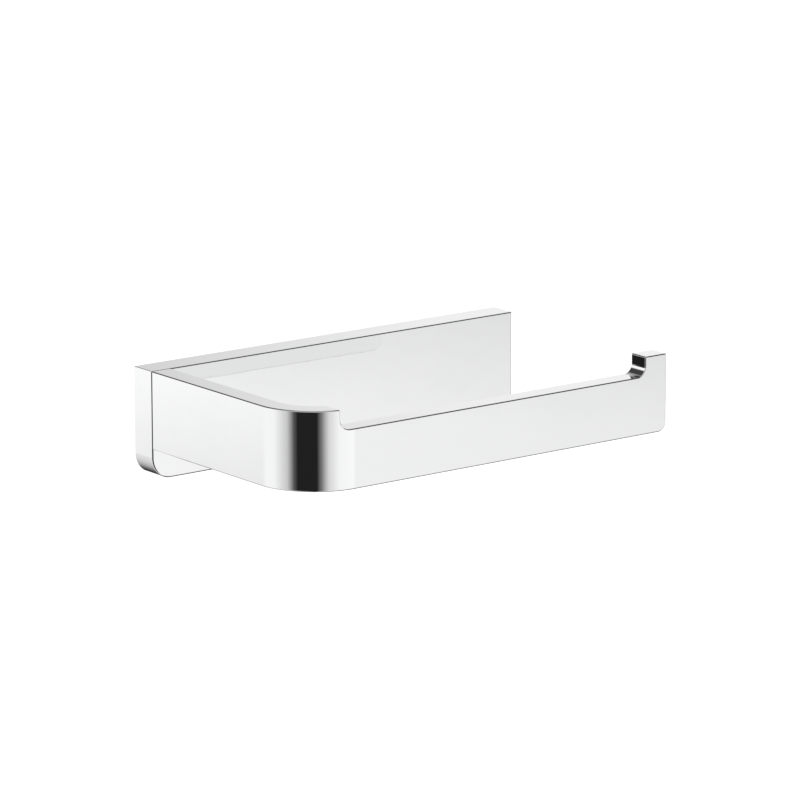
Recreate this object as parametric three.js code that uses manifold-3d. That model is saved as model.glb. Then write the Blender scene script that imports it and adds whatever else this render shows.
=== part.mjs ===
// Open-ended toilet paper holder: a hollow wall plate with a bent flat-bar arm,
// locked on a concealed wall bracket by two set screws in its underside.
//
// Units are millimetres. +Z is up, the wall is the plane y = 0, the room is on
// the -Y side, and +X runs from the arm's root towards the bar's open end.
// The origin is the centre of the plate's outline, on the wall plane.

import * as THREE from 'three';
import { mergeVertices } from 'three/addons/utils/BufferGeometryUtils.js';
import Module from 'manifold-3d';

// ---------------------------------------------------------------- dimensions

// wall plate
const PLATE_LENGTH = 160;
const PLATE_HEIGHT = 39;
const PLATE_DEPTH = 10.7;
const PLATE_CORNER_R = 8;        // lower two corners
const PLATE_TOP_R = 0.6;         // upper two corners are nearly sharp
const PLATE_EDGE = 0.35;         // broken edge round the front face
const PLATE_FACE = 2.5;          // wall thickness behind the front face
const PLATE_TOP_WALL = 2.5;
const PLATE_BOTTOM_WALL = 3;
const PLATE_END_WALL = 2.5;      // right end
const PLATE_BLOCK = 14.5;        // solid block at the left end, carries the arm

// arm: one flat bar, bent once
const ARM_THICKNESS = 7.6;
const ARM_HEIGHT = 28;
const ARM_REACH = 86.8;          // plate's front face to the bar's outer face
const ARM_BEND_R = 23;           // outer radius of the bend
const ARM_SEAM = 0.15;           // gap at the butt joint with the plate
const NOTCH_START = 17.25;       // from the arm's outer side face
const LIP_WIDTH = 9.7;
const NOTCH_DEPTH = 7;
const NOTCH_R = 3.5;
const BAR_TIP_R = 3.3;           // lower corner of the free end

// arm fixing
const ARM_FIX_X = -PLATE_LENGTH / 2 + 4;
const ARM_SCREW_PITCH = 12;
const ARM_DOWEL_PITCH = 22;
const M3_R = 1.5;
const M3_HOLE_R = 1.7;
const M3_HEAD_R = 2.75;
const M3_HEAD_H = 3;
const M3_LENGTH = 12;
const M3_SOCKET_AF = 2.5;
const COUNTERBORE_R = 3.25;
const COUNTERBORE_DEPTH = 4.5;
const LOCK_WASHER_R = 3;
const LOCK_WASHER_T = 0.8;
const DOWEL_R = 1.5;
const DOWEL_LENGTH = 11;
const DOWEL_HOLE_R = 1.65;
const DOWEL_DEPTH_PLATE = 5.6;
const DOWEL_DEPTH_ARM = 5.8;

// wall bracket: a channel with its flanges pointing away from the wall
const BRACKET_LENGTH = 120;
const BRACKET_DEPTH = 7.4;
const BRACKET_WEB = 3;
const BRACKET_FLANGE = 2.5;
const BRACKET_TOP = 16.75;
const BRACKET_BOTTOM = -12.7;
const BRACKET_PAD_HALF = 20;     // centre pad that bears on the wall
const BRACKET_END_PAD = 6;
const BRACKET_RELIEF = 0.5;

// wall fixing
const WALL_SCREW_X = 42;
const WALL_SCREW_Z = 2;
const WALL_SCREW_R = 2.25;
const WALL_SCREW_LENGTH = 40;
const WALL_HEAD_R = 4.2;
const WALL_HEAD_H = 2.7;
const SLOT_WIDTH = 5.4;
const SLOT_LENGTH = 10;
const WALL_WASHER_R = 5.5;
const WALL_WASHER_T = 1;
const PLUG_R = 4;
const PLUG_LENGTH = 38;
const PLUG_BORE_R = 2.5;

// set screws that lock the plate on the bracket
const SET_SCREW_X = 52;
const SET_SCREW_Y = -4.6;
const SET_SCREW_R = 2.5;
const SET_SCREW_LENGTH = 6;
const SET_SCREW_AF = 2.5;
const SET_SCREW_HOLE_R = 2.65;
const SET_SCREW_GAP = 0.25;      // tip to the bracket's lower flange
const BOSS_HEIGHT = 2;

// ------------------------------------------------------------------- helpers

const wasm = await Module();
wasm.setup();

// closed three.js geometry -> solid
function solid(geometry) {
  const bare = geometry.clone();
  for (const name of Object.keys(bare.attributes)) {
    if (name !== 'position') bare.deleteAttribute(name);
  }
  const merged = mergeVertices(bare, 1e-4);
  const pos = merged.attributes.position.array;
  const index = merged.index.array;
  const tris = [];
  let volume = 0;
  for (let i = 0; i < index.length; i += 3) {
    const [a, b, c] = [index[i], index[i + 1], index[i + 2]];
    if (a === b || b === c || c === a) continue;
    tris.push(a, b, c);
    const [ax, ay, az] = pos.slice(3 * a, 3 * a + 3);
    const [bx, by, bz] = pos.slice(3 * b, 3 * b + 3);
    const [cx, cy, cz] = pos.slice(3 * c, 3 * c + 3);
    volume += ax * (by * cz - bz * cy) + ay * (bz * cx - bx * cz) + az * (bx * cy - by * cx);
  }
  if (volume < 0) {
    for (let i = 0; i < tris.length; i += 3) [tris[i], tris[i + 1]] = [tris[i + 1], tris[i]];
  }
  return new wasm.Manifold(new wasm.Mesh({
    numProp: 3,
    vertProperties: new Float32Array(pos),
    triVerts: new Uint32Array(tris),
  }));
}

// solid -> three.js geometry with flat faces
function geometryOf(body) {
  const mesh = body.getMesh();
  const g = new THREE.BufferGeometry();
  g.setAttribute('position', new THREE.BufferAttribute(new Float32Array(mesh.vertProperties), 3));
  g.setIndex(new THREE.BufferAttribute(new Uint32Array(mesh.triVerts), 1));
  const flat = g.toNonIndexed();
  flat.computeVertexNormals();
  return flat;
}

// outline drawn in X and Z, solid from y = front to y = back
function alongY(shape, front, back, options = {}) {
  const g = new THREE.ExtrudeGeometry(shape, {
    depth: back - front, bevelEnabled: false, curveSegments: 12, ...options,
  });
  g.rotateX(Math.PI / 2);        // (x, y, z) -> (x, -z, y)
  g.translate(0, back, 0);
  return g;
}

// outline drawn in X and Y, solid from z = low to z = high
function alongZ(shape, low, high, segments = 12) {
  const g = new THREE.ExtrudeGeometry(shape, {
    depth: high - low, bevelEnabled: false, curveSegments: segments,
  });
  g.translate(0, 0, low);
  return g;
}

// outline drawn in Y and Z, solid from x = left to x = right
function alongX(shape, left, right, segments = 8) {
  const g = new THREE.ExtrudeGeometry(shape, {
    depth: right - left, bevelEnabled: false, curveSegments: segments,
  });
  g.rotateX(Math.PI / 2);
  g.rotateZ(Math.PI / 2);        // (x, y, z) -> (z, x, y)
  g.translate(left, 0, 0);
  return g;
}

function box(x0, x1, y0, y1, z0, z1) {
  const g = new THREE.BoxGeometry(x1 - x0, y1 - y0, z1 - z0);
  g.translate((x0 + x1) / 2, (y0 + y1) / 2, (z0 + z1) / 2);
  return g;
}

// cylinder along Y from y0 to y1
function rodY(radius, x, z, y0, y1, segments = 28) {
  const g = new THREE.CylinderGeometry(radius, radius, y1 - y0, segments);
  g.translate(x, (y0 + y1) / 2, z);
  return g;
}

// cylinder along Z from z0 to z1
function rodZ(radius, x, y, z0, z1, segments = 28) {
  const g = new THREE.CylinderGeometry(radius, radius, z1 - z0, segments);
  g.rotateX(Math.PI / 2);
  g.translate(x, y, (z0 + z1) / 2);
  return g;
}

// rectangle with its own radius at each corner, counter-clockwise
function roundedRect(x0, x1, y0, y1, rBL, rBR, rTR, rTL) {
  const s = new THREE.Shape();
  s.moveTo(x0 + rBL, y0);
  s.lineTo(x1 - rBR, y0);
  if (rBR) s.absarc(x1 - rBR, y0 + rBR, rBR, -Math.PI / 2, 0, false);
  s.lineTo(x1, y1 - rTR);
  if (rTR) s.absarc(x1 - rTR, y1 - rTR, rTR, 0, Math.PI / 2, false);
  s.lineTo(x0 + rTL, y1);
  if (rTL) s.absarc(x0 + rTL, y1 - rTL, rTL, Math.PI / 2, Math.PI, false);
  s.lineTo(x0, y0 + rBL);
  if (rBL) s.absarc(x0 + rBL, y0 + rBL, rBL, Math.PI, 1.5 * Math.PI, false);
  return s;
}

function stadium(cx, cy, length, width, vertical) {
  const r = width / 2;
  const hx = vertical ? r : length / 2;
  const hy = vertical ? length / 2 : r;
  return roundedRect(cx - hx, cx + hx, cy - hy, cy + hy, r, r, r, r);
}

function lathe(points, segments = 32) {
  return new THREE.LatheGeometry(points.map(([r, y]) => new THREE.Vector2(r, y)), segments);
}

// hexagonal socket along Y; af is the size across flats
function hexY(af, y0, y1) {
  const g = new THREE.CylinderGeometry(af / Math.sqrt(3), af / Math.sqrt(3), y1 - y0, 6);
  g.translate(0, (y0 + y1) / 2, 0);
  return g;
}

// ----------------------------------------------------------------- materials

const finish = (color, roughness, metalness) =>
  new THREE.MeshStandardMaterial({ color, roughness, metalness });
const chrome = () => finish(0xd9dcdf, 0.06, 1);
const zincSteel = () => finish(0xb4b8ba, 0.35, 1);
const stainless = () => finish(0xbfc1c2, 0.28, 1);
const blackSteel = () => finish(0x2a2b2d, 0.45, 1);
const nylon = () => finish(0xc9cbc8, 0.55, 0);

const holder = new THREE.Group();
function add(name, geometry, material, position = [0, 0, 0], rotation = [0, 0, 0], parent = holder) {
  const mesh = new THREE.Mesh(geometry, material);
  mesh.name = name;
  mesh.position.set(...position);
  mesh.rotation.set(...rotation);
  parent.add(mesh);
  return mesh;
}

// ---------------------------------------------------------------- wall plate

const halfL = PLATE_LENGTH / 2;
const halfH = PLATE_HEIGHT / 2;
const armTop = halfH;
const armBottom = halfH - ARM_HEIGHT;
const armMid = (armTop + armBottom) / 2;
const armScrewZ = [armMid + ARM_SCREW_PITCH / 2, armMid - ARM_SCREW_PITCH / 2];
const armDowelZ = [armMid + ARM_DOWEL_PITCH / 2, armMid - ARM_DOWEL_PITCH / 2];

{
  // the front edge is broken: the last step of the extrusion is a small bevel
  const inset = PLATE_EDGE;
  const outline = roundedRect(
    -halfL + inset, halfL - inset, -halfH + inset, halfH - inset,
    PLATE_CORNER_R - inset, PLATE_CORNER_R - inset, PLATE_TOP_R - inset, PLATE_TOP_R - inset);
  const g = new THREE.ExtrudeGeometry(outline, {
    depth: PLATE_DEPTH, bevelEnabled: true, bevelThickness: inset, bevelSize: inset,
    bevelSegments: 2, curveSegments: 14,
  });
  g.rotateX(Math.PI / 2);
  g.translate(0, 0, 0);
  // spans y from +inset to -(depth + inset): shift so the front face is at -depth, trim the back at 0
  g.translate(0, inset, 0);
  let body = solid(g).subtract(solid(box(-halfL - 5, halfL + 5, 0, 5, -halfH - 5, halfH + 5)));

  const innerX0 = -halfL + PLATE_BLOCK;
  const innerX1 = halfL - PLATE_END_WALL;
  const innerZ0 = -halfH + PLATE_BOTTOM_WALL;
  const innerZ1 = halfH - PLATE_TOP_WALL;
  const cavity = roundedRect(innerX0, innerX1, innerZ0, innerZ1, 1.5, PLATE_CORNER_R - PLATE_END_WALL, 1.5, 1.5);
  body = body.subtract(solid(alongY(cavity, -(PLATE_DEPTH - PLATE_FACE), 1, { curveSegments: 8 })));

  for (const x of [-SET_SCREW_X, SET_SCREW_X]) {
    // thread boss inside the lower wall
    const boss = roundedRect(x - 5.5, x + 5.5, -(PLATE_DEPTH - PLATE_FACE) - 0.5, -0.6, 1, 1, 2, 2);
    body = body.add(solid(alongZ(boss, innerZ0 - 1, innerZ0 + BOSS_HEIGHT, 6)));
    body = body.subtract(solid(rodZ(SET_SCREW_HOLE_R, x, SET_SCREW_Y, -halfH - 1, innerZ0 + BOSS_HEIGHT + 1)));
    // countersunk mouth
    const mouth = lathe([[0, -1], [SET_SCREW_HOLE_R + 1.5, -1], [SET_SCREW_HOLE_R, 0.5], [0, 0.5]], 28);
    mouth.rotateX(Math.PI / 2);
    mouth.translate(x, SET_SCREW_Y, -halfH);
    body = body.subtract(solid(mouth));
  }
  for (const z of armScrewZ) {
    body = body.subtract(solid(rodY(M3_HOLE_R, ARM_FIX_X, z, -PLATE_DEPTH - 1, 1)));
    body = body.subtract(solid(rodY(COUNTERBORE_R, ARM_FIX_X, z, -COUNTERBORE_DEPTH, 1)));
  }
  for (const z of armDowelZ) {
    body = body.subtract(solid(rodY(DOWEL_HOLE_R, ARM_FIX_X, z, -PLATE_DEPTH - 1, -PLATE_DEPTH + DOWEL_DEPTH_PLATE)));
  }
  add('wall_plate', geometryOf(body), chrome());
}

// ----------------------------------------------------------------------- arm

const rootY = -PLATE_DEPTH - ARM_SEAM;
const barFront = -(PLATE_DEPTH + ARM_REACH);
const barBack = barFront + ARM_THICKNESS;
{
  const x0 = -halfL;
  const R = ARM_BEND_R;
  const r = ARM_BEND_R - ARM_THICKNESS;
  // plan view of the bent bar
  const plan = new THREE.Shape();
  plan.moveTo(x0, rootY);
  plan.lineTo(x0, barFront + R);
  plan.absarc(x0 + R, barFront + R, R, Math.PI, 1.5 * Math.PI, false);
  plan.lineTo(halfL, barFront);
  plan.lineTo(halfL, barBack);
  plan.lineTo(x0 + R, barBack);
  plan.absarc(x0 + R, barFront + R, r, 1.5 * Math.PI, Math.PI, true);
  plan.lineTo(x0 + ARM_THICKNESS, rootY);
  plan.lineTo(x0, rootY);
  let body = solid(alongZ(plan, armBottom, armTop, 28));

  // elevation: the free end's lower corner is rounded
  const trim = roundedRect(-halfL - 5, halfL, armBottom, armTop, 0, BAR_TIP_R, 0.5, 0);
  body = body.intersect(solid(alongY(trim, barFront - 5, 5, { curveSegments: 10 })));

  // notch in the top edge that leaves the lip at the free end
  const n0 = -halfL + NOTCH_START;
  const n1 = halfL - LIP_WIDTH;
  const notch = roundedRect(n0, n1, armTop - NOTCH_DEPTH, armTop + 6, NOTCH_R, NOTCH_R, 0, 0);
  body = body.subtract(solid(alongY(notch, barFront - 5, barBack + 8.5, { curveSegments: 10 })));

  // blind holes in the root face
  for (const z of armScrewZ) {
    body = body.subtract(solid(rodY(M3_HOLE_R, ARM_FIX_X, z, rootY - 8, rootY + 1)));
  }
  for (const z of armDowelZ) {
    body = body.subtract(solid(rodY(DOWEL_HOLE_R, ARM_FIX_X, z, rootY - DOWEL_DEPTH_ARM, rootY + 1)));
  }
  add('roll_arm', geometryOf(body), chrome());
}

// ---------------------------------------------------------------- arm fixing

{
  // socket cap screw along -Y: the seat of the head is y = 0, the tip at -length
  const profile = [
    [0, -M3_LENGTH], [M3_R - 0.4, -M3_LENGTH], [M3_R, -M3_LENGTH + 0.4], [M3_R, 0],
    [M3_HEAD_R, 0], [M3_HEAD_R, M3_HEAD_H - 0.3], [M3_HEAD_R - 0.3, M3_HEAD_H], [0, M3_HEAD_H],
  ];
  const screw = geometryOf(solid(lathe(profile, 28)).subtract(solid(hexY(M3_SOCKET_AF, 1.5, M3_HEAD_H + 1))));
  const ring = new THREE.Shape();
  ring.absarc(0, 0, LOCK_WASHER_R, 0.12, 2 * Math.PI - 0.12, false);
  ring.absarc(0, 0, M3_R + 0.15, 2 * Math.PI - 0.24, 0.24, true);
  ring.closePath();
  const washer = new THREE.ExtrudeGeometry(ring, { depth: LOCK_WASHER_T, bevelEnabled: false, curveSegments: 24 });
  washer.rotateX(Math.PI / 2);   // spans y from -thickness to 0
  const seat = -COUNTERBORE_DEPTH;
  const washerBack = seat + 0.15 + LOCK_WASHER_T;
  const names = ['upper', 'lower'];
  armScrewZ.forEach((z, i) => {
    add(`arm_screw_${names[i]}`, screw.clone(), stainless(), [ARM_FIX_X, washerBack + 0.15, z]);
    add(`arm_lock_washer_${names[i]}`, geometryOf(solid(washer)), stainless(), [ARM_FIX_X, washerBack, z]);
  });

  // dowel pins with chamfered ends, centred on their length
  const h = DOWEL_LENGTH / 2;
  const pin = [[0, -h], [DOWEL_R - 0.3, -h], [DOWEL_R, -h + 0.5], [DOWEL_R, h - 0.5], [DOWEL_R - 0.3, h], [0, h]];
  const dowel = geometryOf(solid(lathe(pin, 24)));
  armDowelZ.forEach((z, i) => {
    add(`arm_dowel_${names[i]}`, dowel.clone(), stainless(), [ARM_FIX_X, -PLATE_DEPTH - ARM_SEAM / 2, z]);
  });
}

// -------------------------------------------------------------- wall bracket

{
  const yb = -BRACKET_DEPTH;
  const yw = -BRACKET_WEB;
  const f = BRACKET_FLANGE;
  const zt = BRACKET_TOP;
  const zb = BRACKET_BOTTOM;
  // section in Y and Z: a channel open towards the room
  const s = new THREE.Shape();
  s.moveTo(0, zb + 1);
  s.absarc(-1, zb + 1, 1, 0, -Math.PI / 2, true);
  s.lineTo(yb + 0.6, zb);
  s.absarc(yb + 0.6, zb + 0.6, 0.6, -Math.PI / 2, -Math.PI, true);
  s.lineTo(yb, zb + f);
  s.lineTo(yw - 1.2, zb + f);
  s.absarc(yw - 1.2, zb + f + 1.2, 1.2, -Math.PI / 2, 0, false);
  s.lineTo(yw, zt - f - 1.2);
  s.absarc(yw - 1.2, zt - f - 1.2, 1.2, 0, Math.PI / 2, false);
  s.lineTo(yb, zt - f);
  s.lineTo(yb, zt - 0.6);
  s.absarc(yb + 0.6, zt - 0.6, 0.6, Math.PI, Math.PI / 2, true);
  s.lineTo(-1, zt);
  s.absarc(-1, zt - 1, 1, Math.PI / 2, 0, true);
  s.lineTo(0, zb + 1);
  const half = BRACKET_LENGTH / 2;
  let body = solid(alongX(s, -half, half, 6));

  // rounded ends
  const outline = roundedRect(-half, half, zb, zt, 3, 3, 3, 3);
  body = body.intersect(solid(alongY(outline, yb - 1, 1, { curveSegments: 8 })));

  // the back is relieved round the screws, so the end pads and the centre pad bear on the wall
  for (const side of [-1, 1]) {
    const inner = side * BRACKET_PAD_HALF;
    const outer = side * (half - BRACKET_END_PAD);
    const relief = roundedRect(Math.min(inner, outer), Math.max(inner, outer), zb - 1, zt + 1, 0, 0, 0, 0);
    body = body.subtract(solid(alongY(relief, -BRACKET_RELIEF, 1)));
    // adjusting slot: level on the left, upright on the right
    const slot = stadium(side * WALL_SCREW_X, WALL_SCREW_Z, SLOT_LENGTH, SLOT_WIDTH, side > 0);
    body = body.subtract(solid(alongY(slot, -BRACKET_WEB - 1, 1, { curveSegments: 12 })));
  }
  // spirit-level window in the web's centre
  const window = stadium(0, 8, 12, 4, false);
  body = body.subtract(solid(alongY(window, -BRACKET_WEB - 1, 1, { curveSegments: 10 })));
  add('wall_bracket', geometryOf(body), zincSteel());
}

// --------------------------------------------------------------- wall fixing

{
  const washerBack = -BRACKET_WEB - 0.15;
  const headSeat = washerBack - WALL_WASHER_T - 0.15;

  // pan head screw along +Y into the wall: the head's seat is y = 0, the tip at +length
  const domed = [[WALL_HEAD_R, 0], [WALL_HEAD_R, -1.1]];
  for (let i = 1; i <= 6; i += 1) {
    const a = (i / 6) * (Math.PI / 2);
    domed.push([WALL_HEAD_R - 1.6 + 1.6 * Math.cos(a), -1.1 - (WALL_HEAD_H - 1.1) * Math.sin(a)]);
  }
  const profile = [
    [0, WALL_SCREW_LENGTH], [WALL_SCREW_R, WALL_SCREW_LENGTH - 5], [WALL_SCREW_R, 0], ...domed, [0, -WALL_HEAD_H],
  ];
  let screw = solid(lathe(profile, 32));
  // cross recess: two crossed wedges
  for (const turn of [0, Math.PI / 2]) {
    const wedge = new THREE.Shape();
    wedge.moveTo(-2.4, -WALL_HEAD_H - 0.5);
    wedge.lineTo(2.4, -WALL_HEAD_H - 0.5);
    wedge.lineTo(2.1, -WALL_HEAD_H + 0.6);
    wedge.lineTo(0.7, -WALL_HEAD_H + 1.9);
    wedge.lineTo(-0.7, -WALL_HEAD_H + 1.9);
    wedge.lineTo(-2.1, -WALL_HEAD_H + 0.6);
    const g = new THREE.ExtrudeGeometry(wedge, { depth: 0.9, bevelEnabled: false });
    g.translate(0, 0, -0.45);
    g.rotateY(turn + Math.PI / 4);
    screw = screw.subtract(solid(g));
  }
  const screwGeometry = geometryOf(screw);

  const disc = new THREE.Shape();
  disc.absarc(0, 0, WALL_WASHER_R, 0, 2 * Math.PI, false);
  const hole = new THREE.Path();
  hole.absarc(0, 0, WALL_SCREW_R + 0.25, 0, 2 * Math.PI, true);
  disc.holes.push(hole);
  const washer = new THREE.ExtrudeGeometry(disc, { depth: WALL_WASHER_T, bevelEnabled: false, curveSegments: 18 });
  washer.rotateX(Math.PI / 2);   // spans y from -thickness to 0

  // expanding plug: collar, ribbed sleeve, split over its far two thirds
  const plugProfile = [[PLUG_BORE_R, 0], [PLUG_R + 0.9, 0], [PLUG_R + 0.9, 0.9], [PLUG_R - 0.3, 1.4], [PLUG_R - 0.3, 8]];
  for (let y = 8; y < PLUG_LENGTH - 6; y += 4) {
    plugProfile.push([PLUG_R, y + 0.6], [PLUG_R, y + 1.8], [PLUG_R - 0.55, y + 4]);
  }
  plugProfile.push([PLUG_R - 0.9, PLUG_LENGTH], [PLUG_BORE_R - 0.1, PLUG_LENGTH], [PLUG_BORE_R, PLUG_LENGTH - 1], [PLUG_BORE_R, 0]);
  let plug = solid(lathe(plugProfile, 20));
  plug = plug.subtract(solid(box(-0.6, 0.6, 10, PLUG_LENGTH - 4, -6, 6)));
  plug = plug.subtract(solid(box(-6, 6, 12, PLUG_LENGTH - 6, -0.6, 0.6)));
  const plugGeometry = geometryOf(plug);

  for (const [side, x] of [['left', -WALL_SCREW_X], ['right', WALL_SCREW_X]]) {
    add(`wall_washer_${side}`, geometryOf(solid(washer)), zincSteel(), [x, washerBack, WALL_SCREW_Z]);
    add(`wall_screw_${side}`, screwGeometry.clone(), zincSteel(), [x, headSeat, WALL_SCREW_Z]);
    add(`wall_plug_${side}`, plugGeometry.clone(), nylon(), [x, 0.2, WALL_SCREW_Z]);
  }
}

// ---------------------------------------------------------------- set screws

{
  // flat point at the top, hex socket at the bottom; built along Y, then stood on end
  const L = SET_SCREW_LENGTH;
  const profile = [
    [0, 0], [SET_SCREW_R - 0.4, 0], [SET_SCREW_R, 0.4], [SET_SCREW_R, L - 0.8], [SET_SCREW_R - 0.8, L], [0, L],
  ];
  const screw = geometryOf(solid(lathe(profile, 28)).subtract(solid(hexY(SET_SCREW_AF, -1, 2.6))));
  const z = BRACKET_BOTTOM - SET_SCREW_GAP - L;
  add('set_screw_left', screw.clone(), blackSteel(), [-SET_SCREW_X, SET_SCREW_Y, z], [Math.PI / 2, 0, 0]);
  add('set_screw_right', screw.clone(), blackSteel(), [SET_SCREW_X, SET_SCREW_Y, z], [Math.PI / 2, 0, 0]);
}

export default holder;
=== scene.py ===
import math

import bmesh
import bpy
from mathutils import Matrix, Vector


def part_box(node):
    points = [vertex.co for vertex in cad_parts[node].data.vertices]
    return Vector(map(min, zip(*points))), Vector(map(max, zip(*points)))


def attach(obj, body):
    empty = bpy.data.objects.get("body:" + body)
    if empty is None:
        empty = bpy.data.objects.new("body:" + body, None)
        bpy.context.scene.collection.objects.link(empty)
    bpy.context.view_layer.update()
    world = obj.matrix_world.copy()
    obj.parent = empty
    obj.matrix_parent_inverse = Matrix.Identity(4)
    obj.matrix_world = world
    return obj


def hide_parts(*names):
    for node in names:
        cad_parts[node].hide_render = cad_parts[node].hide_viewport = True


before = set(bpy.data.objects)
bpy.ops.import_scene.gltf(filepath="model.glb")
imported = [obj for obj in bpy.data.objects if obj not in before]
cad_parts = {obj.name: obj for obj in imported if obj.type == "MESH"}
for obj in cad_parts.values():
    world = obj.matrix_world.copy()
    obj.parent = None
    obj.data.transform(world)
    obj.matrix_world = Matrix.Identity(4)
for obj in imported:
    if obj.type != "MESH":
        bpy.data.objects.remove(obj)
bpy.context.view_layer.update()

MM = 0.001
scene = bpy.context.scene

# --------------------------------------------------------------------------
# camera: the photograph's viewing angle
# --------------------------------------------------------------------------
AZ, EL, DIST = math.radians(-37.5187), math.radians(13.2485), 1.73877
TARGET = Vector((0.0015, -0.0457, 0.0042))
back = Vector((math.sin(AZ) * math.cos(EL), -math.cos(AZ) * math.cos(EL), math.sin(EL)))
cam_data = bpy.data.cameras.new("camera")
cam_data.sensor_width = 36.0
cam_data.lens = 222.92
cam_data.clip_start = 0.05
cam_data.clip_end = 60.0
cam = bpy.data.objects.new("camera", cam_data)
cam.location = TARGET + back * DIST
cam.rotation_euler = (-back).to_track_quat("-Z", "Y").to_euler()
scene.collection.objects.link(cam)
scene.camera = cam

# --------------------------------------------------------------------------
# mesh helpers (millimetres in, metres out)
# --------------------------------------------------------------------------


def make(name, verts, faces, at=(0, 0, 0)):
    me = bpy.data.meshes.new(name)
    me.from_pydata([(x * MM, y * MM, z * MM) for x, y, z in verts], [], faces)
    me.validate()
    o = bpy.data.objects.new(name, me)
    o.location = Vector(at) * MM
    scene.collection.objects.link(o)
    return o


def arc(cx, cy, r, a0, a1, n):
    """n + 1 points from angle a0 to a1, in degrees."""
    return [(cx + r * math.cos(math.radians(a0 + (a1 - a0) * i / n)),
             cy + r * math.sin(math.radians(a0 + (a1 - a0) * i / n))) for i in range(n + 1)]


def tidy(points, eps=1e-5):
    out = []
    for p in points:
        if not out or abs(p[0] - out[-1][0]) > eps or abs(p[1] - out[-1][1]) > eps:
            out.append(p)
    if abs(out[0][0] - out[-1][0]) < eps and abs(out[0][1] - out[-1][1]) < eps:
        out.pop()
    return out


def prism(name, outline, axis, a, b, at=(0, 0, 0)):
    """Solid of a closed outline, from a to b along axis. The outline is (x, z) along y, (x, y) along z, (y, z) along x."""
    pts = tidy(outline)
    n = len(pts)
    area = sum(pts[i][0] * pts[(i + 1) % n][1] - pts[(i + 1) % n][0] * pts[i][1] for i in range(n))
    if area < 0:
        pts = pts[::-1]

    def place(p, t):
        if axis == "y":
            return (p[0], t, p[1])
        if axis == "z":
            return (p[0], p[1], t)
        return (t, p[0], p[1])

    verts = [place(p, a) for p in pts] + [place(p, b) for p in pts]
    faces = [tuple(range(n))[::-1], tuple(range(n, 2 * n))]
    faces += [(i, (i + 1) % n, n + (i + 1) % n, n + i) for i in range(n)]
    if axis == "y":
        faces = [f[::-1] for f in faces]
    return make(name, verts, faces, at)


def box(name, x0, x1, y0, y1, z0, z1):
    return prism(name, [(x0, y0), (x1, y0), (x1, y1), (x0, y1)], "z", z0, z1)


def rounded(x0, x1, y0, y1, bl, br, tr, tl, n=16):
    """Rounded rectangle, counter-clockwise, with its own radius at each corner."""
    pts = []
    for cx, cy, r, a in ((x0 + bl, y0 + bl, bl, 180), (x1 - br, y0 + br, br, 270),
                         (x1 - tr, y1 - tr, tr, 0), (x0 + tl, y1 - tl, tl, 90)):
        pts += arc(cx, cy, r, a, a + 90, n) if r > 1e-6 else [(cx, cy)]
    return tidy(pts)


def circle(cx, cy, r, n=64):
    return [(cx + r * math.cos(2 * math.pi * i / n), cy + r * math.sin(2 * math.pi * i / n)) for i in range(n)]


def lathe(name, profile, n=96, at=(0, 0, 0), wobble=None):
    """Solid of revolution about local Y. profile is (radius, y) from one pole to the other; wobble(i, angle, y) adds to the radius."""
    verts, rings = [], []
    for i, (r, y) in enumerate(profile):
        if r < 1e-6:
            rings.append([len(verts)])
            verts.append((0, y, 0))
            continue
        ring = []
        for k in range(n):
            a = 2 * math.pi * k / n
            rr = r + (wobble(i, a, y) if wobble else 0)
            ring.append(len(verts))
            verts.append((rr * math.cos(a), y, rr * math.sin(a)))
        rings.append(ring)
    faces = []
    closed = len(rings[0]) > 1
    spans = list(zip(rings, rings[1:])) + ([(rings[-1], rings[0])] if closed else [])
    for lo, hi in spans:
        for k in range(n):
            j = (k + 1) % n
            if len(lo) == 1:
                faces.append((lo[0], hi[k], hi[j]))
            elif len(hi) == 1:
                faces.append((lo[k], hi[0], lo[j]))
            else:
                faces.append((lo[k], hi[k], hi[j], lo[j]))
    o = make(name, verts, faces, at)
    outward(o)
    return o


def outward(o):
    bm = bmesh.new()
    bm.from_mesh(o.data)
    bmesh.ops.recalc_face_normals(bm, faces=bm.faces)
    if bm.calc_volume(signed=True) < 0:
        bmesh.ops.reverse_faces(bm, faces=bm.faces)
    bm.to_mesh(o.data)
    bm.free()


def settle(o):
    """Applies o's modifiers."""
    bpy.context.view_layer.update()
    dg = bpy.context.evaluated_depsgraph_get()
    me = bpy.data.meshes.new_from_object(o.evaluated_get(dg), preserve_all_data_layers=True, depsgraph=dg)
    old = o.data
    o.modifiers.clear()
    o.data = me
    me.name = o.name
    bpy.data.meshes.remove(old)


def cut(o, *tools, op="DIFFERENCE", late=False):
    for t in tools:
        m = o.modifiers.new("cut", "BOOLEAN")
        m.operation = op
        m.solver = "EXACT"
        m.object = t
        settle(o)
        me = t.data
        bpy.data.objects.remove(t)
        bpy.data.meshes.remove(me)
    bm = bmesh.new()
    bm.from_mesh(o.data)
    bmesh.ops.remove_doubles(bm, verts=bm.verts, dist=2e-7)
    bmesh.ops.dissolve_degenerate(bm, edges=bm.edges, dist=1e-7)
    if not late:
        bmesh.ops.dissolve_limit(bm, angle_limit=math.radians(0.05), verts=bm.verts, edges=bm.edges)
    bm.to_mesh(o.data)
    bm.free()
    return o


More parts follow.
